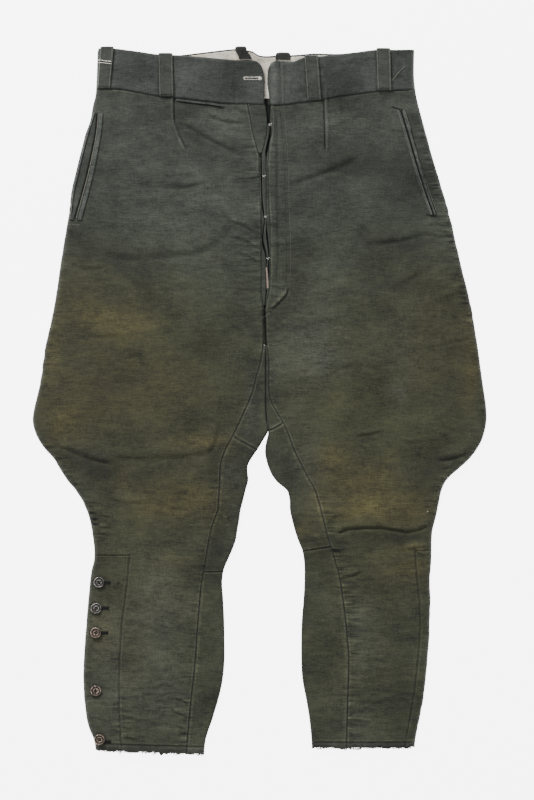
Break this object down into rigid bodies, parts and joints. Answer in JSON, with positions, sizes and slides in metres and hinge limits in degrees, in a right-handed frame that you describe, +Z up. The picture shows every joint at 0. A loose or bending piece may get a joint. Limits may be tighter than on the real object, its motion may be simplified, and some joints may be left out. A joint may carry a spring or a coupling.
{
  "type": "uniform trousers",
  "caption": "Riding-cut uniform trousers laid flat, wide at the thigh and narrow at the calf, with a looped waistband, open fly and buttoned calf closure.",
  "frame": {"origin": "centre of the bounding box on the floor the trousers lie on", "axes": "+Y from the hems to the waist, +X to the wearer's left, +Z up from the floor; the front of the trousers faces +Z"},
  "size_m": [0.6318, 0.9919, 0.0112],
  "materials": {
    "trouser_cloth": "thick napped cloth, worn and stained",
    "inner_leg_cloth": "plain cloth, less stained",
    "waistband_cloth": "thick napped cloth",
    "lining_cloth": "cream cotton twill",
    "binding_cloth": "dark cotton, frayed at the edge",
    "button_metal": "worn metal"
  },
  "bodies": {
    "root": {"front_right": "trouser_cloth", "front_left": "trouser_cloth", "back_right": "trouser_cloth", "back_left": "trouser_cloth", "placket_right": "trouser_cloth", "placket_left": "trouser_cloth", "gusset_right": "inner_leg_cloth", "gusset_left": "inner_leg_cloth", "inner_knee_right": "inner_leg_cloth", "inner_knee_left": "inner_leg_cloth", "hem_right": "binding_cloth", "hem_left": "binding_cloth", "waistband_right": "waistband_cloth", "waistband_left": "waistband_cloth", "waistband_back": "waistband_cloth", "waistband_lining": "lining_cloth", "belt_loop_side_right": "waistband_cloth", "belt_loop_front_right": "waistband_cloth", "belt_loop_back_right": "waistband_cloth", "belt_loop_back_left": "waistband_cloth", "belt_loop_front_left": "waistband_cloth", "belt_loop_side_left": "waistband_cloth", "pocket_welt_front_right": "trouser_cloth", "pocket_welt_back_right": "trouser_cloth", "pocket_welt_front_left": "trouser_cloth", "pocket_welt_back_left": "trouser_cloth", "watch_pocket_lip": "trouser_cloth", "fly_facing_right": "trouser_cloth", "fly_strip_right": "binding_cloth", "calf_button_1": "button_metal", "calf_button_2": "button_metal", "calf_button_3": "button_metal", "calf_button_4": "button_metal", "calf_button_5": "button_metal"}
  },
  "joints": []
}
